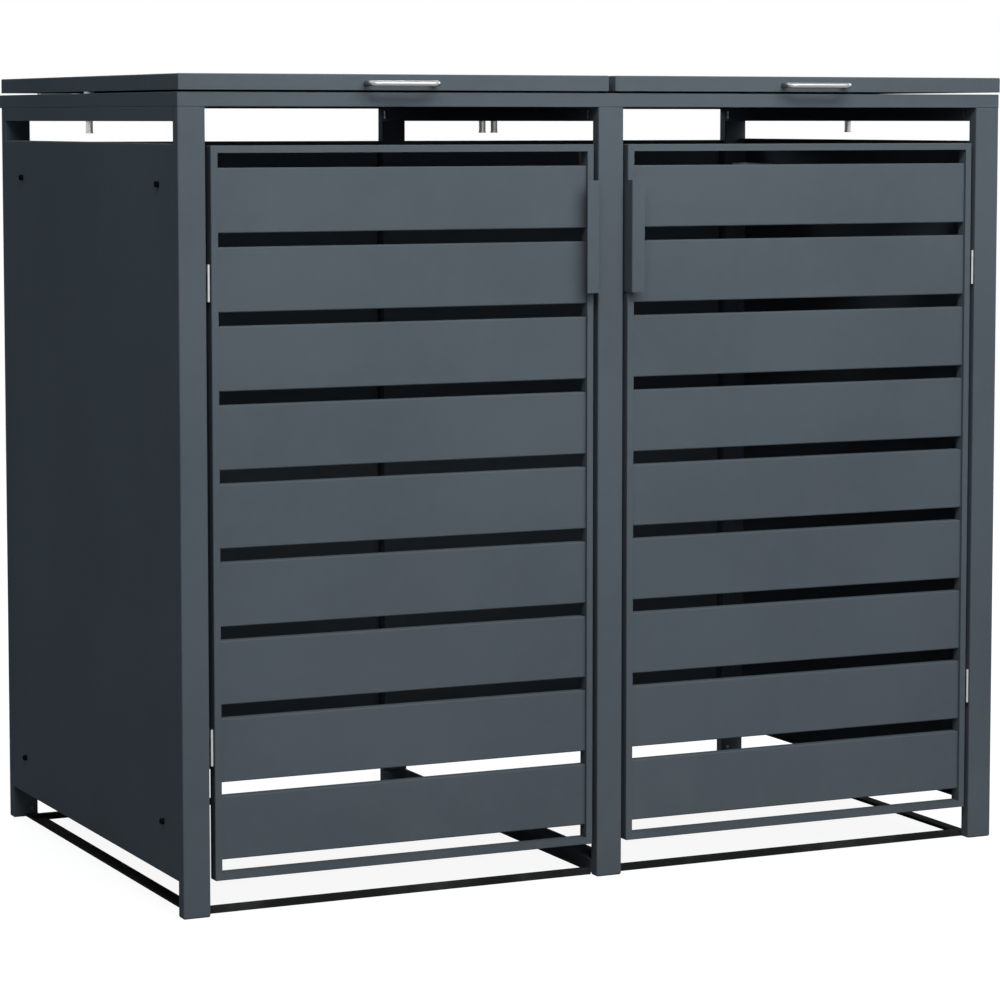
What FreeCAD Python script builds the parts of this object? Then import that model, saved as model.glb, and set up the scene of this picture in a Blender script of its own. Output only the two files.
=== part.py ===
import FreeCAD, Part
import math
import os
import re
import Sketcher

"""Double wheelie bin store: a sheet steel frame with two slatted doors and two hinged lids.

The store stands on the ground at Z = 0 with its doors towards -Y. X = 0 is its middle, and
Y = 0 is midway between the lid handles and the back of the top frame. Lengths are in mm.
"""

# Driving sizes, which fill the spreadsheet.
SIZES = {
    "store_width": 1320,
    "store_depth": 800,
    "store_height": 1165,
    "post_width": 40,
    "post_depth": 20,
    "tube_wall": 1.5,
    "tube_round": 2,
    "foot_plate": 4,
    "foot_round": 3,
    "frame_height": 20,
    "seam_round": 1,
    "back_overhang": 10,
    "rail_height": 20,
    "vent_height": 30,
    "ground_clearance": 50,
    "base_bar": 10,
    "side_bar_width": 20,
    "side_bar_height": 5,
    "base_step": 28,
    "base_inset": 20,
    "base_lift": 3,
    "base_wall": 1.2,
    "panel_sheet": 1.2,
    "panel_return": 15,
    "panel_fit": 0.5,
    "back_panel_drop": 2.5,
    "fold_round": 2,
    "door_fit": 7.5,
    "door_head": 53,
    "door_bar": 10,
    "door_depth": 20,
    "door_wall": 1.2,
    "door_round": 1.5,
    "drain_radius": 2.5,
    "slat_count": 9,
    "slat_height": 89.2,
    "slat_depth": 14.5,
    "slat_recess": 5,
    "slat_shift": 1.1,
    "slat_sheet": 1.2,
    "pull_length": 161,
    "pull_drop": 51.5,
    "pull_reach": 17,
    "pull_width": 20,
    "pull_overlap": 14,
    "pull_sheet": 1.5,
    "hinge_length": 51,
    "knuckle_radius": 2.1,
    "knuckle_play": 0.3,
    "pin_radius": 1,
    "pin_play": 0.05,
    "leaf_sheet": 1.3,
    "leaf_width": 16,
    "leaf_crank": 7,
    "door_axis_depth": 1.5,
    "door_hinge_inset": 187.5,
    "lid_hinge_inset": 85.5,
    "lid_height": 22,
    "lid_seat": 3,
    "lid_gap": 10,
    "lid_lip": 3.5,
    "lid_sheet": 1.2,
    "lid_return": 26,
    "handle_radius": 4,
    "handle_span": 102,
    "handle_reach": 24,
    "handle_bend": 10,
    "handle_rise": 9,
    "damper_radius": 5.2,
    "damper_collar": 7.4,
    "damper_lip": 5.7,
    "damper_lip_height": 2,
    "damper_hang": 18,
    "damper_place": 416.5,
    "damper_inset": 15,
    "damper_split": 10,
    "damper_play": 0.3,
    "plunger_radius": 2,
    "plunger_length": 38,
    "bolt_radius": 2.5,
    "bolt_head": 4.25,
    "bolt_rise": 5,
    "bolt_edge": 0.5,
    "bolt_socket": 2.3,
    "bolt_socket_depth": 2.5,
    "bolt_length": 11,
    "bolt_play": 0.2,
    "bolt_front": 79,
    "bolt_back_high": 105,
    "bolt_back_low": 89.5,
    "bolt_high": 56.5,
    "bolt_low_front": 74.5,
    "bolt_low_back": 58,
    "bracket_sheet": 2,
    "bracket_height": 30,
    "bracket_margin": 14,
    "bracket_leg": 26,
    "screw_radius": 1.8,
    "screw_head": 2.9,
    "screw_rise": 1.8,
    "screw_length": 5,
    "rail_screw_place": 12,
    "rail_screw_pitch": 6.8,
    "foot_screw_height": 13,
    "foot_screw_place": 10,
    "catch_width": 76,
    "catch_height": 34,
    "catch_depth": 8,
    "catch_drop": 45,
    "catch_screw_pitch": 20,
    "catch_sink": 5,
    "magnet_radius": 4.5,
    "magnet_depth": 4,
}

# Lengths worked out from the driving sizes, opened out wherever a formula names them.
WORKED_OUT = {
    "front": "(lid_lip + handle_reach + handle_radius - store_depth - back_overhang) / 2",
    "back": "front + store_depth",
    "side": "store_width / 2",
    "frame_top": "store_height - lid_height - lid_seat",
    "post_top": "frame_top - frame_height",
    "rail_low": "post_top - rail_height",
    "rail_run": "store_depth - 2 * post_depth",
    "panel_height": "rail_low - vent_height - ground_clearance",
    "bay": "(store_width - 3 * post_width) / 2",
    "door_width": "bay - 2 * door_fit",
    "door_height": "post_top - door_head - ground_clearance",
    "door_top": "ground_clearance + door_height",
    "slat_run": "door_width - 2 * door_bar",
    "slat_gap": "(door_height - 2 * door_bar - slat_count * slat_height) / (slat_count + 1)",
    "lid_width": "(store_width - lid_gap) / 2",
    "lid_low": "frame_top + lid_seat",
    "lid_back": "back",
    "lid_run": "store_depth + lid_lip",
    "lid_axis_y": "lid_back + knuckle_radius + knuckle_play",
    "lid_axis_z": "frame_top + knuckle_radius + 0.7 * knuckle_play",
    "bore_radius": "pin_radius + pin_play",
    "bolt_bore": "bolt_radius + bolt_play",
    "screw_bore": "screw_radius + bolt_play",
    "damper_bore": "damper_lip + bolt_play",
    "damper_low": "rail_low - damper_hang",
    "catch_low": "door_top - catch_drop",
}

X_AXIS = FreeCAD.Vector(1, 0, 0)
Y_AXIS = FreeCAD.Vector(0, 1, 0)
Z_AXIS = FreeCAD.Vector(0, 0, 1)
TURN_NONE = FreeCAD.Rotation()
TURN_TO_PLUS_X = FreeCAD.Rotation(Y_AXIS, 90)
TURN_TO_MINUS_X = FreeCAD.Rotation(Y_AXIS, -90)
TURN_TO_PLUS_Y = FreeCAD.Rotation(X_AXIS, -90)
TURN_TO_MINUS_Y = FreeCAD.Rotation(X_AXIS, 90)
TURN_HALF_ABOUT_Y = FreeCAD.Rotation(Y_AXIS, 180)
TURN_LID_HINGE = FreeCAD.Rotation(Z_AXIS, -Y_AXIS, X_AXIS, "XYZ")
NEAR = 1e-4

LEFT = -1
RIGHT = 1

doc = FreeCAD.newDocument("BinStore")
sheet = doc.addObject("Spreadsheet::Sheet", "Sizes")
subparts = []


def fill_sheet():
    """Write each driving size to the spreadsheet as a plain number with its alias."""
    for row, (alias, value) in enumerate(SIZES.items(), start=1):
        sheet.set(f"A{row}", alias)
        sheet.set(f"B{row}", str(value))
        sheet.setAlias(f"B{row}", alias)
    doc.recompute()


def formula(text):
    """Turn plain words into spreadsheet references, opening out the worked-out lengths."""
    def swap(match):
        word = match.group(0)
        if word in WORKED_OUT:
            return "(" + formula(WORKED_OUT[word]) + ")"
        return "Sizes." + word if word in SIZES else word
    return re.sub(r"[a-z][a-z_]*", swap, str(text))


def bind(thing, **formulas):
    """Tie properties of an object to formulas."""
    for name, text in formulas.items():
        thing.setExpression(name, formula(text))


def place(thing, x, y, z, turn=TURN_NONE):
    """Turn an object and tie its place to three formulas."""
    thing.Placement = FreeCAD.Placement(FreeCAD.Vector(), turn)
    for axis, text in zip("xyz", (x, y, z)):
        thing.setExpression(".Placement.Base." + axis, formula(text))
    return thing


def keep(thing, label):
    """Name an object as a sub-part of the store."""
    thing.Label = label
    subparts.append(thing)
    return thing


def new_body(name):
    """Start a body."""
    return doc.addObject("PartDesign::Body", name)


def new_sketch(body, plane="XY_Plane", level="0"):
    """Start a sketch on one of the body's own planes, raised along its normal."""
    sketch = body.newObject("Sketcher::SketchObject", body.Name + "_sketch")
    support = next(item for item in body.Origin.OriginFeatures if item.Role == plane)
    sketch.AttachmentSupport = (support, [""])
    sketch.MapMode = "FlatFace"
    sketch.setExpression(".AttachmentOffset.Base.z", formula(level))
    return sketch


def tie_point(sketch, line, point, x, y):
    """Hold a point of a sketch at two formulas from the sketch's own origin."""
    for kind, text in (("DistanceX", x), ("DistanceY", y)):
        index = sketch.addConstraint(Sketcher.Constraint(kind, -1, 1, line, point, 1.0))
        sketch.setExpression(f"Constraints[{index}]", formula(text))


def add_outline(sketch, corners):
    """Draw a closed outline of straight edges through the given corners."""
    count = len(corners)
    ring = [FreeCAD.Vector(math.cos(2 * math.pi * i / count), math.sin(2 * math.pi * i / count), 0)
            for i in range(count)]
    first = sketch.GeometryCount
    for i in range(count):
        sketch.addGeometry(Part.LineSegment(ring[i], ring[(i + 1) % count]))
    for i, (x, y) in enumerate(corners):
        following = first + (i + 1) % count
        sketch.addConstraint(Sketcher.Constraint("Coincident", first + i, 2, following, 1))
        tie_point(sketch, first + i, 1, x, y)


def add_rectangle(sketch, left, right, low, high):
    """Draw a rectangle between four formulas."""
    add_outline(sketch, [(left, low), (right, low), (right, high), (left, high)])


def add_circle(sketch, x, y, radius):
    """Draw a circle."""
    circle = sketch.addGeometry(Part.Circle(FreeCAD.Vector(), Z_AXIS, 1.0))
    tie_point(sketch, circle, 3, x, y)
    index = sketch.addConstraint(Sketcher.Constraint("Radius", circle, 1.0))
    sketch.setExpression(f"Constraints[{index}]", formula(radius))


def add_pad(body, sketch, length, backwards=False):
    """Raise a sketch into a solid."""
    pad = body.newObject("PartDesign::Pad", body.Name + "_pad")
    pad.Profile = sketch
    pad.Reversed = backwards
    bind(pad, Length=length)
    doc.recompute()


def add_pocket(body, sketch, length, along_normal=False):
    """Cut a sketch out of the body, and make sure that the cut took something away."""
    before = body.Shape.Volume
    pocket = body.newObject("PartDesign::Pocket", body.Name + "_pocket")
    pocket.Profile = sketch
    pocket.Reversed = along_normal
    bind(pocket, Length=length)
    doc.recompute()
    if body.Shape.Volume > before - NEAR:
        raise RuntimeError(body.Name + " has a cut that removes nothing")


def add_fillet(body, radius, wanted):
    """Round the edges of the body's last feature that a test picks."""
    base = body.Tip
    box = base.Shape.BoundBox
    names = [f"Edge{i}" for i, edge in enumerate(base.Shape.Edges, start=1) if wanted(edge, box)]
    fillet = body.newObject("PartDesign::Fillet", body.Name + "_fillet")
    fillet.Base = (base, names)
    bind(fillet, Radius=radius)
    doc.recompute()


def touches(edge, box, *walls):
    """Tell whether an edge lies in every named wall of a box, such as XMin."""
    flat = edge.BoundBox
    for wall in walls:
        at = getattr(box, wall)
        axis = wall[0]
        if abs(getattr(flat, axis + "Min") - at) > NEAR or abs(getattr(flat, axis + "Max") - at) > NEAR:
            return False
    return True


def on_corner(first, second):
    """Make a test for the edges where walls of two directions of the box meet."""
    def wanted(edge, box):
        return any(touches(edge, box, first + a, second + b)
                   for a in ("Min", "Max") for b in ("Min", "Max"))
    return wanted


def on_rim(wall):
    """Make a test for the outer edges of one wall of the box."""
    def wanted(edge, box):
        return any(touches(edge, box, wall, axis + end)
                   for axis in "XYZ" if axis != wall[0] for end in ("Min", "Max"))
    return wanted


def either(*tests):
    """Make a test that passes when any of several does."""
    def wanted(edge, box):
        return any(test(edge, box) for test in tests)
    return wanted


def box_shape(name, x, y, z, length, width, height):
    """Make a plain block at a corner."""
    block = doc.addObject("Part::Box", name)
    bind(block, Length=length, Width=width, Height=height)
    return place(block, x, y, z)


def rod_shape(name, radius, length, x="0", y="0", z="0", turn=TURN_NONE):
    """Make a round rod that starts at a point and runs along its turned Z axis."""
    rod = doc.addObject("Part::Cylinder", name)
    bind(rod, Radius=radius, Height=length)
    return place(rod, x, y, z, turn)


def fuse(name, members):
    """Join overlapping shapes into one solid."""
    joined = doc.addObject("Part::MultiFuse", name)
    joined.Shapes = members
    return joined


def group(label, members):
    """Gather identical separate pieces under one name."""
    gathered = doc.addObject("Part::Compound", label)
    gathered.Links = members
    return keep(gathered, label)


def mirrored(sign, text):
    """Write a formula for the left or the right side of the store."""
    return f"{sign} * ({text})"


def make_post(label, x, y, screw_wall, screws):
    """Make one upright: a rectangular tube with a closed, rounded foot.

    screws lists the X and Z of the screw holes in the post's front or back wall.
    """
    post = new_body(label)
    outline = new_sketch(post)
    add_rectangle(outline, "-post_width / 2", "post_width / 2", "0", "post_depth")
    add_pad(post, outline, "post_top")
    add_fillet(post, "tube_round", on_corner("X", "Y"))
    add_fillet(post, "foot_round", lambda edge, box: touches(edge, box, "ZMin"))
    hollow = new_sketch(post, level="foot_plate")
    wall = "post_width / 2 - tube_wall"
    add_rectangle(hollow, f"-({wall})", wall, "tube_wall", "post_depth - tube_wall")
    add_pocket(post, hollow, "post_top - foot_plate", along_normal=True)
    if screws:
        at_back = screw_wall == "back"
        holes = new_sketch(post, "XZ_Plane", "-post_depth" if at_back else "0")
        for screw_x, screw_z in screws:
            add_circle(holes, screw_x, screw_z, "screw_bore")
        add_pocket(post, holes, "2 * tube_wall", along_normal=at_back)
    place(post, x, y, "0")
    return keep(post, label)


def catch_screw_heights():
    """List the Z of the two screws that hold the door catch."""
    return [f"catch_low + catch_height / 2 + {step} * catch_screw_pitch" for step in (-0.5, 0.5)]


def make_posts():
    """Make the three front and the three back posts."""
    corner = "side - post_width / 2"
    inner = "post_width / 2 - foot_screw_place"
    rows = (("front", "front", "back", [("0", z) for z in catch_screw_heights()]),
            ("back", "back - post_depth", "front", []))
    for row, y, screw_wall, middle_screws in rows:
        for name, sign in (("left", LEFT), ("right", RIGHT)):
            foot_screw = (mirrored(-sign, inner), "foot_screw_height")
            make_post(f"{row}_{name}_post", mirrored(sign, corner), y, screw_wall, [foot_screw])
        make_post(row + "_middle_post", "0", y, screw_wall, middle_screws)


def damper_spots():
    """List the X and Y of the four lid dampers, left lid first."""
    outer = "side - damper_inset"
    y = "front + damper_place"
    return [(mirrored(LEFT, outer), y), (mirrored(LEFT, "damper_split"), y),
            (mirrored(RIGHT, "damper_split"), y), (mirrored(RIGHT, outer), y)]


def make_top_frame():
    """Make the welded top frame: two bin openings inside a hollow rectangular section."""
    frame = new_body("top_frame")
    run = "store_depth + back_overhang"
    back_bar = "post_depth + back_overhang"
    outline = new_sketch(frame)
    add_rectangle(outline, "-side", "side", "0", run)
    for sign in (LEFT, RIGHT):
        add_rectangle(outline, mirrored(sign, "post_width / 2"), mirrored(sign, "side - post_width"),
                      "post_depth", f"{run} - ({back_bar})")
    add_pad(frame, outline, "frame_height")
    add_fillet(frame, "seam_round", either(on_corner("X", "Y"), on_rim("ZMin"), on_rim("ZMax")))
    hollow = new_sketch(frame, level="tube_wall")
    add_rectangle(hollow, "-side + tube_wall", "side - tube_wall", "tube_wall", f"{run} - tube_wall")
    for sign in (LEFT, RIGHT):
        add_rectangle(hollow, mirrored(sign, "post_width / 2 - tube_wall"),
                      mirrored(sign, "side - post_width + tube_wall"),
                      "post_depth - tube_wall", f"{run} - ({back_bar}) + tube_wall")
    add_pocket(frame, hollow, "frame_height - 2 * tube_wall", along_normal=True)
    holes = new_sketch(frame)
    for x, y in damper_spots():
        add_circle(holes, x, f"{y} - front", "damper_bore")
    add_pocket(frame, holes, "frame_height", along_normal=True)
    place(frame, "0", "front", "post_top")
    keep(frame, "top_frame")


def make_tube_rail(label, width, height, wall, run):
    """Make a plain rectangular tube that runs back along Y from its own origin."""
    rail = new_body(label)
    outline = new_sketch(rail, "XZ_Plane")
    add_rectangle(outline, f"-({width}) / 2", f"({width}) / 2", "0", height)
    add_rectangle(outline, f"-({width}) / 2 + {wall}", f"({width}) / 2 - {wall}",
                  wall, f"{height} - {wall}")
    add_pad(rail, outline, run, backwards=True)
    add_fillet(rail, "seam_round", on_corner("X", "Z"))
    return rail


def make_upper_rail(label, x, dampers, screw_sides):
    """Make one front-to-back rail under the top frame, drilled for dampers and screws."""
    rail = make_tube_rail(label, "post_width", "rail_height", "tube_wall", "rail_run")
    holes = new_sketch(rail)
    for spot_x, spot_y in dampers:
        add_circle(holes, f"{spot_x} - ({x})", f"{spot_y} - front - post_depth", "damper_bore")
    add_pocket(rail, holes, "rail_height", along_normal=True)
    for sign in screw_sides:
        drilled = new_sketch(rail, "YZ_Plane", mirrored(sign, "post_width / 2"))
        for y in ("rail_screw_place", "rail_run - rail_screw_place"):
            for step in (-0.5, 0.5):
                add_circle(drilled, y, f"rail_height / 2 + {step} * rail_screw_pitch", "screw_bore")
        add_pocket(rail, drilled, "2 * tube_wall", along_normal=sign == LEFT)
    place(rail, x, "front + post_depth", "rail_low")
    keep(rail, label)


def make_upper_rails():
    """Make the three rails that carry the top frame between the front and back posts."""
    spots = damper_spots()
    corner = "side - post_width / 2"
    make_upper_rail("left_upper_rail", mirrored(LEFT, corner), spots[:1], (RIGHT,))
    make_upper_rail("middle_upper_rail", "0", spots[1:3], (LEFT, RIGHT))
    make_upper_rail("right_upper_rail", mirrored(RIGHT, corner), spots[3:], (LEFT,))


def make_base():
    """Make the tubes that tie the feet together on the ground; the back ones lap over the side rails."""
    middle = make_tube_rail("middle_base_rail", "post_width", "rail_height", "tube_wall", "rail_run")
    place(middle, "0", "front + post_depth", "base_lift")
    keep(middle, "middle_base_rail")
    for name, sign in (("left", LEFT), ("right", RIGHT)):
        label = name + "_base_rail"
        rail = make_tube_rail(label, "side_bar_width", "side_bar_height", "base_wall", "rail_run")
        place(rail, mirrored(sign, "side - base_inset - side_bar_width / 2"),
              "front + post_depth", "0")
        keep(rail, label)
    turn = FreeCAD.Rotation(Z_AXIS, -90)
    end = "base_inset + side_bar_width"
    run = f"side - ({end}) - post_width / 2"
    crossing = []
    for x in (f"-side + {end}", "post_width / 2"):
        bar = make_tube_rail("base_cross_rail", "base_bar", "base_bar", "base_wall", run)
        crossing.append(place(bar, x, "front + post_depth + base_bar / 2", "0", turn))
    for x, lap_start in (("-side + base_inset", "0"), ("post_width / 2", run)):
        bar = make_tube_rail("base_cross_rail", "base_bar", "base_bar", "base_wall", f"{run} + side_bar_width")
        lap = new_sketch(bar, "YZ_Plane", "-base_bar / 2")
        add_rectangle(lap, lap_start, f"{lap_start} + side_bar_width", "0", "side_bar_height")
        add_pocket(bar, lap, "base_bar", along_normal=True)
        crossing.append(place(bar, x, "back - post_depth - base_step - base_bar / 2", "0", turn))
    group("base_cross_rails", crossing)


def make_tray(name, plane, width, height, sign):
    """Make a flat panel whose four edges are folded over towards the inside.

    sign is 1 where the inside lies along the plane's normal.
    """
    panel = new_body(name)
    outline = new_sketch(panel, plane)
    add_rectangle(outline, "0", width, "0", height)
    add_pad(panel, outline, "panel_return", backwards=sign < 0)
    outer = {"YZ_Plane": ("XMin", "XMax"), "XZ_Plane": ("YMax", "YMin")}[plane][0 if sign > 0 else 1]
    folds = on_corner("Y" if plane == "YZ_Plane" else "X", "Z")
    add_fillet(panel, "fold_round", either(folds, on_rim(outer)))
    hollow = new_sketch(panel, plane, f"{sign} * panel_sheet")
    add_rectangle(hollow, "panel_sheet", f"{width} - panel_sheet", "panel_sheet", f"{height} - panel_sheet")
    add_pocket(panel, hollow, "panel_return - panel_sheet", along_normal=sign > 0)
    return panel


def bolt_spots():
    """List the Y from the front and the Z above the panel's low edge of a side panel's bolts."""
    high = "panel_height - bolt_high"
    return [("bolt_front", high), ("store_depth - bolt_back_high", high),
            ("bolt_front", "bolt_low_front"), ("store_depth - bolt_back_low", "bolt_low_back")]


def make_panels():
    """Make the two side panels, drilled for their bolts, and the two back panels."""
    start = "post_depth + panel_fit"
    for name, sign in (("left", LEFT), ("right", RIGHT)):
        label = name + "_side_panel"
        panel = make_tray(label, "YZ_Plane", "rail_run - 2 * panel_fit", "panel_height", -sign)
        holes = new_sketch(panel, "YZ_Plane")
        for y, z in bolt_spots():
            add_circle(holes, f"{y} - ({start})", z, "bolt_bore")
        add_pocket(panel, holes, "2 * panel_sheet", along_normal=sign == LEFT)
        place(panel, mirrored(sign, "side"), f"front + {start}", "ground_clearance")
        keep(panel, label)
    for name, x in (("left", "-bay - post_width / 2"), ("right", "post_width / 2")):
        label = name + "_back_panel"
        panel = make_tray(label, "XZ_Plane", "bay - 2 * panel_fit", "panel_height - back_panel_drop", 1)
        place(panel, f"{x} + panel_fit", "back", "ground_clearance")
        keep(panel, label)


def socket_shape(name, radius, top, depth):
    """Make the hexagonal plug that cuts a key socket down from the top of a head."""
    socket = doc.addObject("Part::Prism", name)
    bind(socket, Circumradius=radius, Height=f"2 * {depth}")
    return place(socket, "0", "0", f"{top} - {depth}")


def make_bolt(name, x, y, z, turn):
    """Make a cap bolt whose head sits on a face and whose shank goes in along -Z."""
    head = rod_shape(name + "_head", "bolt_head", "bolt_rise - bolt_edge")
    rim = doc.addObject("Part::Cone", name + "_rim")
    bind(rim, Radius1="bolt_head", Radius2="bolt_head - bolt_edge", Height="bolt_edge")
    place(rim, "0", "0", "bolt_rise - bolt_edge")
    shank = rod_shape(name + "_shank", "bolt_radius", "bolt_length + bolt_rise / 4", z="-bolt_length")
    bolt = doc.addObject("Part::Cut", name)
    bolt.Base = fuse(name + "_solid", [head, rim, shank])
    bolt.Tool = socket_shape(name + "_socket", "bolt_socket", "bolt_rise", "bolt_socket_depth")
    return place(bolt, x, y, z, turn)


def make_screw(name, x, y, z, turn):
    """Make a small socket screw whose head sits on a face and whose shank goes in along -Z."""
    head = rod_shape(name + "_head", "screw_head", "screw_rise")
    shank = rod_shape(name + "_shank", "screw_radius", "screw_length + screw_rise / 4", z="-screw_length")
    screw = doc.addObject("Part::Cut", name)
    screw.Base = fuse(name + "_solid", [head, shank])
    screw.Tool = socket_shape(name + "_socket", "screw_head / 2", "screw_rise", "screw_rise / 2")
    return place(screw, x, y, z, turn)


def make_bracket(name, side_sign, end_sign, bolt_y):
    """Make the angle that one panel bolt holds against a panel's folded edge.

    end_sign is 1 at the front of the panel and -1 at its back. bolt_y is from the post.
    """
    inward = -side_sign
    bracket = new_body(name)
    profile = new_sketch(bracket)
    reach = f"{bolt_y} + bracket_margin"
    corners = [("0", "0"), ("bracket_leg", "0"), ("bracket_leg", "bracket_sheet"),
               ("bracket_sheet", "bracket_sheet"), ("bracket_sheet", reach), ("0", reach)]
    add_outline(profile, [(mirrored(inward, x), mirrored(end_sign, y)) for x, y in corners])
    add_pad(bracket, profile, "bracket_height")
    hole = new_sketch(bracket, "YZ_Plane")
    add_circle(hole, mirrored(end_sign, bolt_y), "bracket_height / 2", "bolt_bore")
    add_pocket(bracket, hole, "2 * bracket_sheet", along_normal=inward > 0)
    return bracket


def make_panel_fixings():
    """Make the bolts through the side panels and the angles behind them."""
    bolts = []
    brackets = []
    for sign in (LEFT, RIGHT):
        turn = TURN_TO_MINUS_X if sign == LEFT else TURN_TO_PLUS_X
        for number, (y, z) in enumerate(bolt_spots()):
            height = f"ground_clearance + {z}"
            bolts.append(make_bolt("panel_bolt", mirrored(sign, "side"), f"front + {y}", height, turn))
            edge = "post_depth + panel_fit + panel_sheet"
            at_front = number % 2 == 0
            bolt_y = f"{y} - ({edge})" if at_front else f"store_depth - ({y}) - ({edge})"
            bracket = make_bracket("panel_bracket", sign, 1 if at_front else -1, bolt_y)
            start = f"front + {edge}" if at_front else f"back - ({edge})"
            brackets.append(place(bracket, mirrored(sign, "side - panel_sheet"), start,
                                  f"{height} - bracket_height / 2"))
    group("panel_bolts", bolts)
    group("panel_brackets", brackets)


def make_frame_screws():
    """Make the screws in the faces of the upper rails, at the feet and in the door catch."""
    screws = []
    faces = [("-side + post_width", TURN_TO_PLUS_X), ("-post_width / 2", TURN_TO_MINUS_X),
             ("post_width / 2", TURN_TO_PLUS_X), ("side - post_width", TURN_TO_MINUS_X)]
    for x, turn in faces:
        for y in ("front + post_depth + rail_screw_place", "back - post_depth - rail_screw_place"):
            for step in (-0.5, 0.5):
                z = f"rail_low + rail_height / 2 + {step} * rail_screw_pitch"
                screws.append(make_screw("rail_screw", x, y, z, turn))
    for sign in (LEFT, RIGHT):
        x = mirrored(sign, "side - post_width + foot_screw_place")
        for y, turn in (("front + post_depth", TURN_TO_PLUS_Y), ("back - post_depth", TURN_TO_MINUS_Y)):
            screws.append(make_screw("foot_screw", x, y, "foot_screw_height", turn))
    for z in catch_screw_heights():
        y = "front + post_depth + catch_depth - catch_sink"
        screws.append(make_screw("catch_screw", "0", y, z, TURN_TO_PLUS_Y))
    group("frame_screws", screws)


def make_leaf(name, low, knuckles, bend=0):
    """Make one hinge leaf about the local Z axis, its plate from a distance along X.

    knuckles lists the low and high ends of the leaf's own knuckles. bend is 1 or -1 where the
    plate stands to that side of the knuckles and the tabs between them are cranked.
    """
    half = "hinge_length / 2"
    tab = {-1: "-knuckle_radius", 0: low, 1: "knuckle_radius - leaf_sheet"}[bend]
    near, far = (tab, low) if bend > 0 else (low, tab)
    members = [box_shape(name + "_plate", low, "leaf_crank", f"-{half}", "leaf_sheet",
                         "leaf_width - leaf_crank", "hinge_length")]
    for start, end in knuckles:
        run = f"({end}) - ({start})"
        members.append(box_shape(name + "_tab", tab, "0", start, "leaf_sheet", "leaf_crank + leaf_sheet", run))
        if bend:
            members.append(box_shape(name + "_step", near, "leaf_crank", start,
                                     f"({far}) - ({near}) + leaf_sheet", "leaf_sheet", run))
        members.append(rod_shape(name + "_knuckle", "knuckle_radius", run, z=start))
    leaf = doc.addObject("Part::Cut", name)
    leaf.Base = fuse(name + "_solid", members)
    leaf.Tool = rod_shape(name + "_bore", "bore_radius", "2 * hinge_length", z="-hinge_length")
    return leaf


def fixed_knuckles():
    """Give the ends of the two outer knuckles, which belong to the fixed leaf."""
    inner = "(hinge_length / 4 + knuckle_play / 2)"
    outer = "(hinge_length / 2)"
    return [(f"-{outer}", f"-{inner}"), (inner, outer)]


def moving_knuckle():
    """Give the ends of the middle knuckle, which belongs to the moving leaf."""
    inner = "(hinge_length / 4 - knuckle_play / 2)"
    return [(f"-{inner}", inner)]


def make_hinges():
    """Make the leaves and pins of the door hinges and the lid hinges."""
    pins = []
    fixed = []
    for name, sign in (("left", LEFT), ("right", RIGHT)):
        turn = TURN_NONE if sign == LEFT else TURN_HALF_ABOUT_Y
        x = mirrored(sign, "side - post_width - door_fit / 2")
        y = "front + door_axis_depth"
        moving = []
        for z in ("door_top - door_hinge_inset", "ground_clearance + door_hinge_inset"):
            leaf = make_leaf("post_leaf", "-door_fit / 2", fixed_knuckles(), LEFT)
            fixed.append(place(leaf, x, y, z, turn))
            leaf = make_leaf("door_leaf", "door_fit / 2 - leaf_sheet", moving_knuckle(), RIGHT)
            moving.append(place(leaf, x, y, z, turn))
            pins.append(rod_shape("door_pin", "pin_radius", "hinge_length", x, y, f"{z} - hinge_length / 2"))
        group(name + "_door_hinge_leaves", moving)
    group("post_hinge_leaves", fixed)
    fixed = []
    for name, sign in (("left", LEFT), ("right", RIGHT)):
        moving = []
        for x in ("side - lid_hinge_inset", "lid_gap / 2 + lid_hinge_inset"):
            spot = mirrored(sign, x)
            leaf = make_leaf("frame_leaf", "frame_top - lid_axis_z", fixed_knuckles())
            fixed.append(place(leaf, spot, "lid_axis_y", "lid_axis_z", TURN_LID_HINGE))
            leaf = make_leaf("lid_leaf", "lid_low - lid_axis_z - leaf_sheet", moving_knuckle())
            moving.append(place(leaf, spot, "lid_axis_y", "lid_axis_z", TURN_LID_HINGE))
            pins.append(rod_shape("lid_pin", "pin_radius", "hinge_length", f"{spot} - hinge_length / 2",
                                  "lid_axis_y", "lid_axis_z", TURN_TO_PLUS_X))
        group(name + "_lid_hinge_leaves", moving)
    group("frame_hinge_leaves", fixed)
    group("hinge_pins", pins)


def make_dampers():
    """Make the damper bodies, whose collars carry the lids, and the plungers inside them."""
    bodies = []
    plungers = []
    top = "lid_low - damper_low"
    bore = "plunger_radius + damper_play"
    bore_low = f"{top} - plunger_length - 2 * damper_play"
    for x, y in damper_spots():
        body = new_body("damper_body")
        profile = new_sketch(body, "XZ_Plane")
        add_outline(profile, [
            ("0", "0"), ("damper_lip", "0"), ("damper_lip", "damper_lip_height"),
            ("damper_radius", "damper_lip_height"), ("damper_radius", f"{top} - lid_seat"),
            ("damper_collar", f"{top} - lid_seat"), ("damper_collar", top),
            (bore, top), (bore, bore_low), ("0", bore_low)])
        turned = body.newObject("PartDesign::Revolution", "damper_turned")
        turned.Profile = profile
        turned.ReferenceAxis = (profile, ["V_Axis"])
        doc.recompute()
        bodies.append(place(body, x, y, "damper_low"))
        low = "lid_low - plunger_length - damper_play"
        plungers.append(rod_shape("plunger", "plunger_radius", "plunger_length", x, y, low))
    group("damper_bodies", bodies)
    group("left_plungers", plungers[:2])
    group("right_plungers", plungers[2:])


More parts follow.
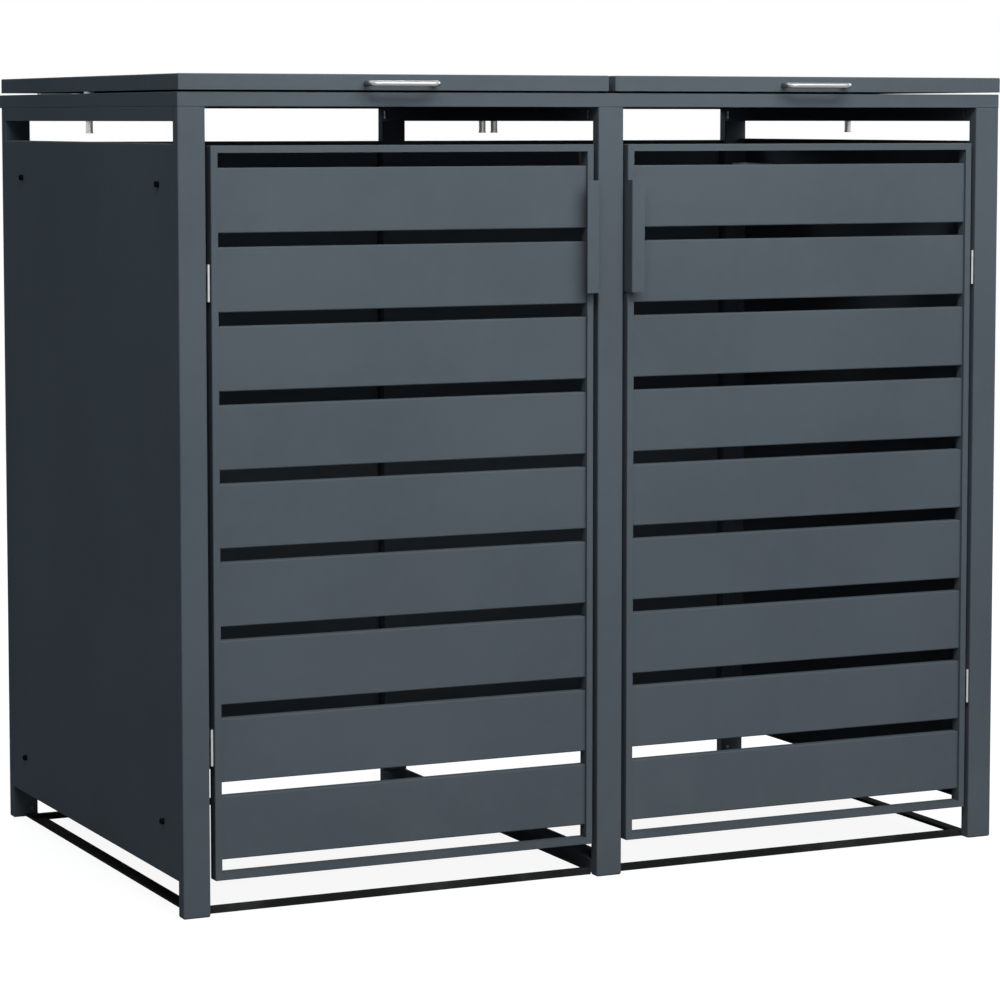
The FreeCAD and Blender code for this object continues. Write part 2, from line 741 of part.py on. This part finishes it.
def make_door_catch():
    """Make the catch behind the front middle post, and its two magnets."""
    catch = new_body("door_catch")
    profile = new_sketch(catch)
    half = "catch_width / 2"
    post = "post_width / 2"
    step = "knuckle_play"
    add_outline(profile, [
        (f"-{post}", "0"), (post, "0"), (post, step), (half, step), (half, "catch_depth"),
        (f"-{half}", "catch_depth"), (f"-{half}", step), (f"-{post}", step)])
    add_pad(catch, profile, "catch_height")
    for radius, depth in (("screw_bore", "catch_depth"), ("screw_head + bolt_play", "catch_sink")):
        holes = new_sketch(catch, "XZ_Plane", "-catch_depth")
        for z in catch_screw_heights():
            add_circle(holes, "0", f"{z} - catch_low", radius)
        add_pocket(catch, holes, depth, along_normal=True)
    magnet_x = "post_width / 2 + door_fit + door_bar / 2"
    pockets = new_sketch(catch, "XZ_Plane", f"-{step}")
    magnets = []
    for sign in (LEFT, RIGHT):
        add_circle(pockets, mirrored(sign, magnet_x), "catch_height / 2", "magnet_radius + pin_play")
        magnets.append(rod_shape("door_magnet", "magnet_radius", "magnet_depth", mirrored(sign, magnet_x),
                                 f"front + post_depth + {step}", "catch_low + catch_height / 2",
                                 TURN_TO_PLUS_Y))
    add_pocket(catch, pockets, "magnet_depth")
    place(catch, "0", "front + post_depth", "catch_low")
    keep(catch, "door_catch")
    group("door_magnets", magnets)


def make_door_frame(label, x):
    """Make a door's welded frame of small rectangular tube, with drain holes underneath."""
    frame = new_body(label)
    outline = new_sketch(frame, "XZ_Plane")
    add_rectangle(outline, "0", "door_width", "0", "door_height")
    add_rectangle(outline, "door_bar", "door_width - door_bar", "door_bar", "door_height - door_bar")
    add_pad(frame, outline, "door_depth", backwards=True)
    add_fillet(frame, "door_round", either(on_corner("X", "Z"), on_rim("YMin"), on_rim("YMax")))
    hollow = new_sketch(frame, "XZ_Plane", "-door_wall")
    inner = "door_bar - door_wall"
    add_rectangle(hollow, "door_wall", "door_width - door_wall", "door_wall", "door_height - door_wall")
    add_rectangle(hollow, inner, f"door_width - ({inner})", inner, f"door_height - ({inner})")
    add_pocket(frame, hollow, "door_depth - 2 * door_wall")
    drains = new_sketch(frame)
    for spot in ("2 * door_bar", "door_width - 2 * door_bar"):
        add_circle(drains, spot, "door_depth / 2", "drain_radius")
    add_pocket(frame, drains, "2 * door_wall", along_normal=True)
    place(frame, x, "front", "ground_clearance")
    keep(frame, label)


def make_slat(label, x, number):
    """Make one slat: a sheet strip folded back along its top and bottom edges."""
    slat = new_body(label)
    profile = new_sketch(slat, "YZ_Plane")
    inner = "slat_height - slat_sheet"
    add_outline(profile, [
        ("0", "0"), ("0", "slat_height"), ("slat_depth", "slat_height"), ("slat_depth", inner),
        ("slat_sheet", inner), ("slat_sheet", "slat_sheet"), ("slat_depth", "slat_sheet"),
        ("slat_depth", "0")])
    add_pad(slat, profile, "slat_run")
    add_fillet(slat, "fold_round", lambda edge, box: touches(edge, box, "YMin", "ZMin")
               or touches(edge, box, "YMin", "ZMax"))
    low = f"door_top - door_bar - slat_shift - {number} * (slat_gap + slat_height)"
    place(slat, f"{x} + door_bar", "front + slat_recess", low)
    keep(slat, label)


def make_pull(label, sign, latch_x):
    """Make a door's pull: a folded angle that stands out from the latch edge.

    sign is 1 where the latch edge is the door's right edge.
    """
    pull = new_body(label)
    profile = new_sketch(pull)
    corners = [("0", "pull_overlap"), ("pull_sheet", "pull_overlap"), ("pull_sheet", "-pull_reach"),
               ("pull_sheet - pull_width", "-pull_reach"),
               ("pull_sheet - pull_width", "pull_sheet - pull_reach"), ("0", "pull_sheet - pull_reach")]
    add_outline(profile, [(mirrored(sign, x), y) for x, y in corners])
    add_pad(pull, profile, "pull_length")
    bend = "XMax" if sign > 0 else "XMin"
    add_fillet(pull, "fold_round", lambda edge, box: touches(edge, box, "YMin", bend))
    place(pull, latch_x, "front", "door_top - pull_drop - pull_length")
    keep(pull, label)


def make_door(side, x, latch_sign):
    """Make one door with its left edge at X: frame, slats and pull."""
    make_door_frame(side + "_door_frame", x)
    for number in range(1, int(sheet.slat_count) + 1):
        make_slat(f"{side}_door_slat_{number}", x, number)
    latch_x = f"{x} + door_width" if latch_sign > 0 else x
    make_pull(side + "_door_pull", latch_sign, latch_x)


def make_lid(label, x):
    """Make one lid: a shallow tray upside down, with its rim folded in at the bottom."""
    lid = new_body(label)
    outline = new_sketch(lid)
    add_rectangle(outline, "0", "lid_width", "0", "lid_run")
    add_pad(lid, outline, "lid_height")
    add_fillet(lid, "fold_round", either(on_corner("X", "Y"), on_rim("ZMax")))
    hollow = new_sketch(lid, level="lid_sheet")
    add_rectangle(hollow, "lid_sheet", "lid_width - lid_sheet", "lid_sheet", "lid_run - lid_sheet")
    add_pocket(lid, hollow, "lid_height - 2 * lid_sheet", along_normal=True)
    mouth = new_sketch(lid)
    add_rectangle(mouth, "lid_return", "lid_width - lid_return", "lid_return", "lid_run - lid_return")
    add_pocket(lid, mouth, "2 * lid_sheet", along_normal=True)
    place(lid, x, "front - lid_lip", "lid_low")
    keep(lid, label)


def make_bow_handle(label, x):
    """Make a lid's handle: a round rod bent to a bow that stands out from the lid's front."""
    half = "handle_span / 2"
    elbow = f"({half} - handle_bend)"
    leg = "handle_reach - handle_bend"
    rods = [rod_shape(label + "_bar", "handle_radius", f"2 * {elbow}", f"-{elbow}", "-handle_reach",
                      turn=TURN_TO_PLUS_X)]
    for sign, quarter in ((LEFT, 180), (RIGHT, 270)):
        rods.append(rod_shape(label + "_leg", "handle_radius", leg, mirrored(sign, half),
                              turn=TURN_TO_MINUS_Y))
        bend = doc.addObject("Part::Torus", label + "_bend")
        bind(bend, Radius1="handle_bend", Radius2="handle_radius")
        bend.Angle3 = 90
        rods.append(place(bend, mirrored(sign, elbow), f"-({leg})", "0",
                          FreeCAD.Rotation(Z_AXIS, quarter)))
    handle = fuse(label, rods)
    place(handle, f"{x} + lid_width / 2", "front - lid_lip", "lid_low + handle_rise")
    keep(handle, label)


def check_and_write():
    """Stop on any failed object or bad shape, and then write one STEP file per sub-part."""
    doc.recompute()
    failed = [item.Label for item in doc.Objects if {"Invalid", "Error"} & set(item.State)]
    failed += [item.Label for item in subparts if item.Shape.isNull() or not item.Shape.isValid()]
    if failed:
        raise RuntimeError("These did not come out right: " + ", ".join(failed))
    os.makedirs("parts", exist_ok=True)
    for item in subparts:
        item.Shape.exportStep(os.path.join("parts", item.Label + ".step"))
        print(item.Label, len(item.Shape.Solids), round(item.Shape.Volume))
    print(len(subparts), "sub-parts")


def main():
    """Build the store from the ground up."""
    fill_sheet()
    make_posts()
    make_base()
    make_top_frame()
    make_upper_rails()
    make_panels()
    make_panel_fixings()
    make_frame_screws()
    make_door_catch()
    make_hinges()
    make_dampers()
    left_door_x = "-side + post_width + door_fit"
    right_door_x = "post_width / 2 + door_fit"
    make_door("left", left_door_x, RIGHT)
    make_door("right", right_door_x, LEFT)
    for side, x in (("left", "-side"), ("right", "lid_gap / 2")):
        make_lid(side + "_lid", x)
        make_bow_handle(side + "_lid_handle", x)
    check_and_write()


main()
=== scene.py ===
"""The looks of a double wheelie bin store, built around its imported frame.

Lengths are in metres, in the store's own frame: the ground is Z = 0, the doors face -Y and
X = 0 is the middle between the two bays.
"""

import logging
import math
from dataclasses import dataclass
from enum import Enum

import bmesh
import bpy
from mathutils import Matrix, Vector


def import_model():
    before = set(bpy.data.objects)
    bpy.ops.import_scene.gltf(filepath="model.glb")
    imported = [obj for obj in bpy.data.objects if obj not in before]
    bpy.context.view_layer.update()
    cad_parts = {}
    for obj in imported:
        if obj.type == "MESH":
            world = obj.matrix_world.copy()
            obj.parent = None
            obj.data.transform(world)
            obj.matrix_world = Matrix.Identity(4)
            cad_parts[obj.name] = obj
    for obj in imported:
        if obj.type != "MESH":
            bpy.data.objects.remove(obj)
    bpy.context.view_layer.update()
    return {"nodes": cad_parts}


LOG = logging.getLogger("bin_store")

Triple = tuple[float, float, float]
Pair = tuple[float, float]
Nodes = dict[str, bpy.types.Object]

NO_STRETCH: Triple = (1.0, 1.0, 1.0)
NOISE_MIDDLE = 0.5

WHITE: Triple = (1.0, 1.0, 1.0)
WARM: Triple = (1.0, 0.975, 0.94)
COOL: Triple = (0.82, 0.92, 1.0)


class Side(Enum):
    """The two mirrored halves of the store, as their nodes' names begin."""

    LEFT = "left"
    RIGHT = "right"


def srgb(red: int, green: int, blue: int) -> Triple:
    """Turn a display colour into the linear one that shaders take.

    Args:
        red: Red, from 0 to 255.
        green: Green, from 0 to 255.
        blue: Blue, from 0 to 255.

    Returns:
        The linear colour, each part from 0 to 1.
    """
    parts = (value / 255 for value in (red, green, blue))
    return tuple(p / 12.92 if p <= 0.04045 else ((p + 0.055) / 1.055) ** 2.4 for p in parts)


def scaled(colour: Triple, factor: float) -> Triple:
    """Give a colour times a factor, with no part past 1."""
    return tuple(min(1.0, part * factor) for part in colour)


class Wire:
    """The output of a node, which Python's operators can do sums with."""

    def __init__(self, bench: "Bench", socket: bpy.types.NodeSocket) -> None:
        """Hold a socket and the bench that its node stands on."""
        self.bench = bench
        self.socket = socket

    def _sum(self, operation: str, first: "Wire | float", second: "Wire | float") -> "Wire":
        """Add a Math node for one step of a sum."""
        return self.bench.node("ShaderNodeMath", {"operation": operation}, {0: first, 1: second})

    def __add__(self, other: "Wire | float") -> "Wire":
        """Add."""
        return self._sum("ADD", self, other)

    def __radd__(self, other: float) -> "Wire":
        """Add to a number."""
        return self._sum("ADD", other, self)

    def __sub__(self, other: "Wire | float") -> "Wire":
        """Take away."""
        return self._sum("SUBTRACT", self, other)

    def __mul__(self, other: "Wire | float") -> "Wire":
        """Multiply."""
        return self._sum("MULTIPLY", self, other)


class Bench:
    """A node tree that is being wired up."""

    def __init__(self, tree: bpy.types.NodeTree) -> None:
        """Clear a node tree and start on it."""
        self.tree = tree
        tree.nodes.clear()

    def node(self, kind: str, settings: dict | None = None, inputs: dict | None = None,
             output: int | str = 0) -> Wire:
        """Add any node.

        Args:
            kind: The node's type.
            settings: Properties that are set before the inputs.
            inputs: Values or wires by the name or number of the socket.
            output: The name or number of the output that is handed back.

        Returns:
            The chosen output.
        """
        made = self.tree.nodes.new(kind)
        for key, value in (settings or {}).items():
            setattr(made, key, value)
        for key, value in (inputs or {}).items():
            socket = made.inputs[key]
            if isinstance(value, Wire):
                self.tree.links.new(value.socket, socket)
            elif socket.type == "RGBA":
                socket.default_value = (*value, 1.0)
            else:
                socket.default_value = value
        return Wire(self, made.outputs[output])

    def place(self, stretch: Triple = NO_STRETCH) -> Wire:
        """Find the place on the piece, in metres.

        Args:
            stretch: A factor along each axis.

        Returns:
            The stretched place.
        """
        spot = self.node("ShaderNodeTexCoord", output="Object")
        if stretch == NO_STRETCH:
            return spot
        return self.node("ShaderNodeMapping", {"vector_type": "POINT"}, {"Vector": spot, "Scale": stretch})

    def noise(self, spot: Wire, scale: float = 1.0, detail: float = 2.0, roughness: float = 0.5) -> Wire:
        """Give a noise between 0 and 1 whose lumps are one over the scale across."""
        return self.node("ShaderNodeTexNoise", {"noise_dimensions": "3D"},
                         {"Vector": spot, "Scale": scale, "Detail": detail, "Roughness": roughness})

    def ragged(self, spot: Wire, scale: float = 1.0) -> Wire:
        """Give a noise like the plain one, with finer and rougher edges to its lumps."""
        return self.noise(spot, scale, detail=4.0, roughness=0.6)

    def fade(self, value: Wire, span: Pair, ends: Pair = (0.0, 1.0)) -> Wire:
        """Turn a value that runs over the span smoothly into one that runs between the ends."""
        sockets = {"Value": value}
        sockets |= zip(("From Min", "From Max", "To Min", "To Max"), span + ends)
        return self.node("ShaderNodeMapRange", {"interpolation_type": "SMOOTHSTEP", "clamp": True}, sockets)

    def blend(self, share: Wire | float, first: Wire | Triple, second: Wire | Triple) -> Wire:
        """Mix two colours, with more of the second as the share grows."""
        settings = {"data_type": "RGBA", "blend_type": "MIX", "clamp_factor": True}
        return self.node("ShaderNodeMix", settings, {0: share, 6: first, 7: second}, output=2)

    def height(self, spot: Wire) -> Wire:
        """Give how high the place is above the ground."""
        return self.node("ShaderNodeSeparateXYZ", inputs={"Vector": spot}, output="Z")

    def bump(self, relief: Wire, depth: float, strength: float) -> Wire:
        """Turn a relief between 0 and 1 into a normal."""
        return self.node("ShaderNodeBump", inputs={"Height": relief, "Distance": depth, "Strength": strength})

    def seen(self) -> Wire:
        """Tell the rays that show the surroundings from those that only light.

        Returns:
            1 for the rays that show them and 0 for the others.
        """
        paths = [self.node("ShaderNodeLightPath", output=name)
                 for name in ("Is Camera Ray", "Is Glossy Ray", "Is Transmission Ray")]
        return self.node("ShaderNodeClamp", inputs={"Value": paths[0] + paths[1] + paths[2]})

    def surface(self, inputs: dict) -> None:
        """End a material with a Principled surface."""
        self.end("ShaderNodeOutputMaterial", self.node("ShaderNodeBsdfPrincipled", inputs=inputs))

    def end(self, kind: str, shader: Wire) -> None:
        """Close the tree with an output node of the given kind."""
        self.tree.links.new(shader.socket, self.tree.nodes.new(kind).inputs["Surface"])


def new_material(name: str) -> tuple[bpy.types.Material, Bench]:
    """Start a material.

    Args:
        name: The finish's name.

    Returns:
        The material and the bench with its empty node tree.
    """
    material = bpy.data.materials.new(name)
    material.use_nodes = True
    return material, Bench(material.node_tree)


@dataclass(frozen=True)
class PowderCoat:
    """A baked powder coat on sheet steel, with orange peel and a little settled dust.

    A scale is in lumps to the metre, a depth in metres, and a span is the part of a noise that a
    change runs over.
    """

    name: str
    colour: Triple
    roughness: float = 0.5
    gloss: float = 0.001
    drift_scale: float = 3.1
    mottle_scale: float = 46.0
    mottle_share: float = 0.3
    tone_span: Pair = (0.35, 0.65)
    tone_swing: float = 0.05
    roughness_swing: float = 0.10
    peel_scale: float = 620.0
    peel_depth: float = 0.00006
    peel_strength: float = 0.8
    grain_ratio: float = 3.4
    grain_share: float = 0.25
    dust: Triple = srgb(120, 122, 122)
    dust_stretch: Triple = (9.0, 9.0, 5.0)
    dust_span: Pair = (0.4, 0.8)
    dust_share: float = 0.05
    dust_roughness: float = 0.10
    splash_height: float = 0.22
    splash_share: float = 1.5
    fallen_share: float = 0.5

    def make(self) -> bpy.types.Material:
        """Build the material.

        Returns:
            The material.
        """
        material, bench = new_material(self.name)
        spot = bench.place()
        drift = bench.noise(spot, self.drift_scale, detail=3.0)
        mottle = bench.ragged(spot, self.mottle_scale)
        mixed = drift * (1.0 - self.mottle_share) + mottle * self.mottle_share
        darker = scaled(self.colour, 1.0 - self.tone_swing)
        lighter = scaled(self.colour, 1.0 + self.tone_swing)
        tone = bench.blend(bench.fade(mixed, self.tone_span), darker, lighter)
        cloud = bench.ragged(bench.place(self.dust_stretch))
        low_down = bench.fade(bench.height(spot), (self.splash_height, 0.0))
        settled = bench.fade(cloud, self.dust_span) * (low_down * self.splash_share + self.fallen_share)
        tone = bench.blend(settled * self.dust_share, tone, self.dust)
        peel = bench.noise(spot, self.peel_scale, roughness=0.45)
        grain = bench.noise(spot, self.peel_scale * self.grain_ratio, detail=1.0)
        relief = peel * (1.0 - self.grain_share) + grain * self.grain_share
        roughness = self.roughness + (mottle - NOISE_MIDDLE) * self.roughness_swing
        bench.surface({
            "Base Color": tone, "Specular IOR Level": self.gloss,
            "Roughness": roughness + settled * self.dust_roughness,
            "Normal": bench.bump(relief, self.peel_depth, self.peel_strength),
        })
        return material


@dataclass(frozen=True)
class DrawnSteel:
    """Bare steel with fine lines along the way that it was drawn or brushed.

    The grain is in lines to the metre along each axis.
    """

    name: str
    colour: Triple
    roughness: float = 0.3
    grain: Triple = (60.0, 2600.0, 2600.0)
    grain_depth: float = 0.00001
    grain_strength: float = 0.7
    line_span: Pair = (0.3, 0.7)
    line_share: float = 0.18
    line_shade: float = 0.6
    roughness_swing: float = 0.14
    stain: Triple = srgb(150, 148, 143)
    stain_scale: float = 55.0
    stain_span: Pair = (0.5, 0.85)
    stain_share: float = 0.35
    dull_span: Pair = (0.4, 0.8)
    dull_share: float = 0.08

    def make(self) -> bpy.types.Material:
        """Build the material.

        Returns:
            The material.
        """
        material, bench = new_material(self.name)
        lines = bench.noise(bench.place(self.grain), detail=3.0, roughness=0.6)
        patches = bench.noise(bench.place(), self.stain_scale, detail=3.0, roughness=0.55)
        tone = bench.blend(bench.fade(patches, self.stain_span) * self.stain_share, self.colour, self.stain)
        shaded = scaled(self.colour, self.line_shade)
        tone = bench.blend(bench.fade(lines, self.line_span) * self.line_share, tone, shaded)
        roughness = self.roughness + (lines - NOISE_MIDDLE) * self.roughness_swing
        bench.surface({
            "Base Color": tone, "Metallic": 1.0,
            "Roughness": roughness + bench.fade(patches, self.dull_span) * self.dull_share,
            "Normal": bench.bump(lines, self.grain_depth, self.grain_strength),
        })
        return material


@dataclass(frozen=True)
class MouldedPlastic:
    """Moulded plastic with a fine spark texture and handling marks."""

    name: str
    colour: Triple
    roughness: float = 0.5
    roughness_swing: float = 0.16
    texture_scale: float = 1500.0
    texture_depth: float = 0.00004
    texture_strength: float = 0.6
    mark_scale: float = 130.0
    mark_span: Pair = (0.4, 0.75)
    mark_share: float = 0.3
    mark_tint: float = 1.35

    def make(self) -> bpy.types.Material:
        """Build the material.

        Returns:
            The material.
        """
        material, bench = new_material(self.name)
        spot = bench.place()
        spark = bench.noise(spot, self.texture_scale)
        marks = bench.ragged(spot, self.mark_scale)
        worn = bench.fade(marks, self.mark_span) * self.mark_share
        bench.surface({
            "Base Color": bench.blend(worn, self.colour, scaled(self.colour, self.mark_tint)),
            "Roughness": self.roughness + (marks - NOISE_MIDDLE) * self.roughness_swing,
            "Normal": bench.bump(spark, self.texture_depth, self.texture_strength),
        })
        return material


class Finish(Enum):
    """Every finish on the store."""

    ANTHRACITE = PowderCoat("anthracite_powder_coat", srgb(68, 76, 83))
    BLACK_COAT = PowderCoat("black_powder_coat", srgb(28, 29, 30), gloss=0.002)
    BLACK_BOLT = PowderCoat("black_bolt_finish", srgb(9, 11, 14), roughness=0.4, gloss=0.0,
                            peel_scale=900.0, peel_depth=0.00002)
    STAINLESS = DrawnSteel("brushed_stainless_steel", (0.29, 0.295, 0.3), grain_depth=0.00002)
    ZINC = DrawnSteel("bright_zinc_plate", (0.42, 0.43, 0.43), grain=(900.0, 900.0, 900.0))
    DARK_SCREW = DrawnSteel("black_oxide_screw", (0.05, 0.052, 0.054), roughness=0.34,
                            grain=(900.0, 900.0, 900.0))
    DAMPER = DrawnSteel("silver_damper_tube", (0.56, 0.55, 0.53), roughness=0.34,
                        grain=(1800.0, 1800.0, 90.0))
    MAGNET = DrawnSteel("nickel_magnet", (0.6, 0.59, 0.57), grain=(700.0, 700.0, 700.0))
    CATCH = MouldedPlastic("black_catch_plastic", srgb(34, 34, 37))

    @property
    def material(self) -> bpy.types.Material:
        """The finish's material, made the first time that it is asked for."""
        return bpy.data.materials.get(self.value.name) or self.value.make()


def dress(nodes: Nodes, finish: Finish, names: list[str]) -> None:
    """Give some of the frame's nodes a finish.

    Args:
        nodes: The frame's nodes by name.
        finish: The finish.
        names: The nodes that get it.
    """
    for name in names:
        for slot in nodes[name].material_slots:
            slot.material = finish.material
        LOG.info("%s: %s", name, finish.value.name)


@dataclass
class TubeFrame:
    """The uprights, the rails, the welded top frame, their small screws and the door catch."""

    nodes: Nodes
    rows: tuple[str, ...] = ("front", "back")
    columns: tuple[str, ...] = ("left", "middle", "right")

    def build(self) -> None:
        """Dress the frame."""
        posts = [f"{row}_{column}_post" for row in self.rows for column in self.columns]
        rails = [f"{column}_upper_rail" for column in self.columns]
        dress(self.nodes, Finish.ANTHRACITE, posts + rails + ["middle_base_rail", "top_frame"])
        dress(self.nodes, Finish.BLACK_COAT, ["left_base_rail", "right_base_rail", "base_cross_rails"])
        dress(self.nodes, Finish.DARK_SCREW, ["frame_screws"])
        dress(self.nodes, Finish.CATCH, ["door_catch"])
        dress(self.nodes, Finish.MAGNET, ["door_magnets"])


@dataclass
class SheetPanels:
    """The side and back panels with their bolts and angles."""

    nodes: Nodes

    def build(self) -> None:
        """Dress the panels."""
        sheets = [f"{side.value}_{wall}_panel" for side in Side for wall in ("side", "back")]
        dress(self.nodes, Finish.ANTHRACITE, sheets)
        dress(self.nodes, Finish.BLACK_BOLT, ["panel_bolts"])
        dress(self.nodes, Finish.ZINC, ["panel_brackets"])


@dataclass
class SlattedDoor:
    """One door: its frame, its slats, its folded pull and its hinge leaves."""

    nodes: Nodes
    side: Side
    slats: int = 9

    def build(self) -> None:
        """Dress the door."""
        start = f"{self.side.value}_door_"
        slats = [f"{start}slat_{number}" for number in range(1, self.slats + 1)]
        dress(self.nodes, Finish.ANTHRACITE, [start + "frame", start + "pull", *slats])
        dress(self.nodes, Finish.ZINC, [start + "hinge_leaves"])


@dataclass
class FlatLid:
    """One lid with its bow handle, hinge leaves and damper plungers."""

    nodes: Nodes
    side: Side

    def build(self) -> None:
        """Dress the lid."""
        start = self.side.value
        dress(self.nodes, Finish.ANTHRACITE, [start + "_lid"])
        dress(self.nodes, Finish.STAINLESS, [start + "_lid_handle"])
        dress(self.nodes, Finish.ZINC, [start + "_lid_hinge_leaves", start + "_plungers"])


@dataclass
class FixedHardware:
    """The hinge leaves and pins on the frame, and the damper tubes."""

    nodes: Nodes

    def build(self) -> None:
        """Dress the hardware."""
        dress(self.nodes, Finish.ZINC, ["post_hinge_leaves", "frame_hinge_leaves", "hinge_pins"])
        dress(self.nodes, Finish.DAMPER, ["damper_bodies"])


@dataclass(frozen=True)
class SoftBox:
    """A soft light: where it hangs, the point that it faces, its size, its watts and its tint."""

    name: str
    place: Triple
    target: Triple
    size: Pair
    power: float
    tint: Triple = WHITE

    def hang(self) -> None:
        """Hang the light."""
        data = bpy.data.lights.new(self.name, "AREA")
        data.shape = "RECTANGLE"
        data.size, data.size_y = self.size
        data.energy = self.power
        data.color = self.tint
        lamp = bpy.data.objects.new(self.name, data)
        lamp.location = self.place
        way = Vector(self.target) - Vector(self.place)
        lamp.rotation_euler = way.to_track_quat("-Z", "Y").to_euler()
        bpy.context.scene.collection.objects.link(lamp)


@dataclass
class Studio:
    """The pale floor, the soft lights, the white surroundings and the camera.

    The camera's turn and dip are in degrees, and its lens and sensor in millimetres.
    """

    lights: tuple[SoftBox, ...] = (
        SoftBox("key_light", (0.35, -2.2, 2.75), (0.0, -0.39, 1.0), (2.4, 0.8), 66.0, WARM),
        SoftBox("wide_light", (0.8, -3.2, 2.4), (0.0, -0.39, 0.8), (3.0, 1.6), 40.0, WARM),
        SoftBox("front_light", (-0.5, -4.6, 1.9), (0.0, -0.39, 0.6), (3.0, 2.0), 50.0),
        SoftBox("corner_light", (-1.2, -2.2, 2.9), (-0.3, -0.39, 1.0), (1.6, 0.8), 43.0, WARM),
        SoftBox("left_light", (-2.2, 0.0, 3.4), (-0.66, 0.0, 0.9), (1.6, 1.2), 22.0, COOL),
        SoftBox("right_light", (3.2, 0.4, 2.2), (0.6, 0.1, 0.7), (2.4, 1.2), 55.0, COOL),
        SoftBox("back_light", (0.3, 3.2, 2.4), (0.0, 0.4, 0.7), (3.2, 1.2), 170.0, COOL),
    )
    camera_place: Triple = (-2.2715, -4.81815, 1.102)
    camera_turn: float = 25.314
    camera_dip: float = 4.97
    lens: float = 124.3
    sensor: float = 36.0
    shift: float = -0.08
    sight: float = 200.0
    floor_size: float = 60.0
    floor_drop: float = 0.0002
    floor_tone: float = 0.3
    floor_shade: float = 0.11
    floor_glow: float = 0.92
    glow_span: Pair = (1.6, 4.5)
    ambient: float = 0.07

    def build(self) -> None:
        """Set up the studio."""
        self.floor()
        self.surroundings()
        for light in self.lights:
            light.hang()
        self.camera()
        bpy.context.scene.view_settings.view_transform = "Standard"

    def floor(self) -> None:
        """Lay the floor, which keeps the store's shadow and is white elsewhere."""
        shape = bmesh.new()
        bmesh.ops.create_grid(shape, x_segments=1, y_segments=1, size=self.floor_size / 2)
        bmesh.ops.translate(shape, vec=(0.0, 0.0, -self.floor_drop), verts=shape.verts)
        mesh = bpy.data.meshes.new("floor")
        shape.to_mesh(mesh)
        shape.free()
        mesh.materials.append(self.floor_material())
        floor = bpy.data.objects.new("floor", mesh)
        bpy.context.scene.collection.objects.link(floor)

    def floor_material(self) -> bpy.types.Material:
        """Build the floor's material, which glows where it is looked at and is matt as a light.

        Returns:
            The material.
        """
        material, bench = new_material("pale_floor")
        seen = bench.seen()
        matt = bench.node("ShaderNodeBsdfDiffuse", inputs={"Color": (self.floor_tone,) * 3})
        shade = bench.node("ShaderNodeBsdfDiffuse", inputs={"Color": (self.floor_shade,) * 3})
        away = bench.node("ShaderNodeVectorMath", {"operation": "LENGTH"}, {0: bench.place()}, output="Value")
        strength = bench.fade(away, self.glow_span, (self.floor_glow, 1.0))
        glow = bench.node("ShaderNodeEmission", inputs={"Color": WHITE, "Strength": strength})
        lit = bench.node("ShaderNodeAddShader", inputs={0: shade, 1: glow})
        both = bench.node("ShaderNodeMixShader", inputs={0: seen, 1: matt, 2: lit})
        bench.end("ShaderNodeOutputMaterial", both)
        return material

    def surroundings(self) -> None:
        """Make the surroundings white to look at and dimmer as a light."""
        world = bpy.data.worlds.new("studio")
        bpy.context.scene.world = world
        world.use_nodes = True
        bench = Bench(world.node_tree)
        strength = self.ambient + bench.seen() * (1.0 - self.ambient)
        sky = bench.node("ShaderNodeBackground", inputs={"Color": WHITE, "Strength": strength})
        bench.end("ShaderNodeOutputWorld", sky)

    def camera(self) -> None:
        """Stand the camera where the photograph was taken from."""
        data = bpy.data.cameras.new("camera")
        data.lens = self.lens
        data.sensor_width = self.sensor
        data.shift_y = self.shift
        data.clip_end = self.sight
        camera = bpy.data.objects.new("camera", data)
        camera.location = self.camera_place
        camera.rotation_euler = (math.radians(90.0 - self.camera_dip), 0.0, -math.radians(self.camera_turn))
        bpy.context.scene.collection.objects.link(camera)
        bpy.context.scene.camera = camera


def main() -> None:
    """Dress the store, light it and stand the camera."""
    logging.basicConfig(level=logging.INFO, format="%(name)s: %(message)s")
    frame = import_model()
    nodes = frame["nodes"]
    parts = [TubeFrame(nodes), SheetPanels(nodes), *(SlattedDoor(nodes, side) for side in Side),
             *(FlatLid(nodes, side) for side in Side), FixedHardware(nodes), Studio()]
    for part in parts:
        part.build()


if __name__ == "__main__":
    main()
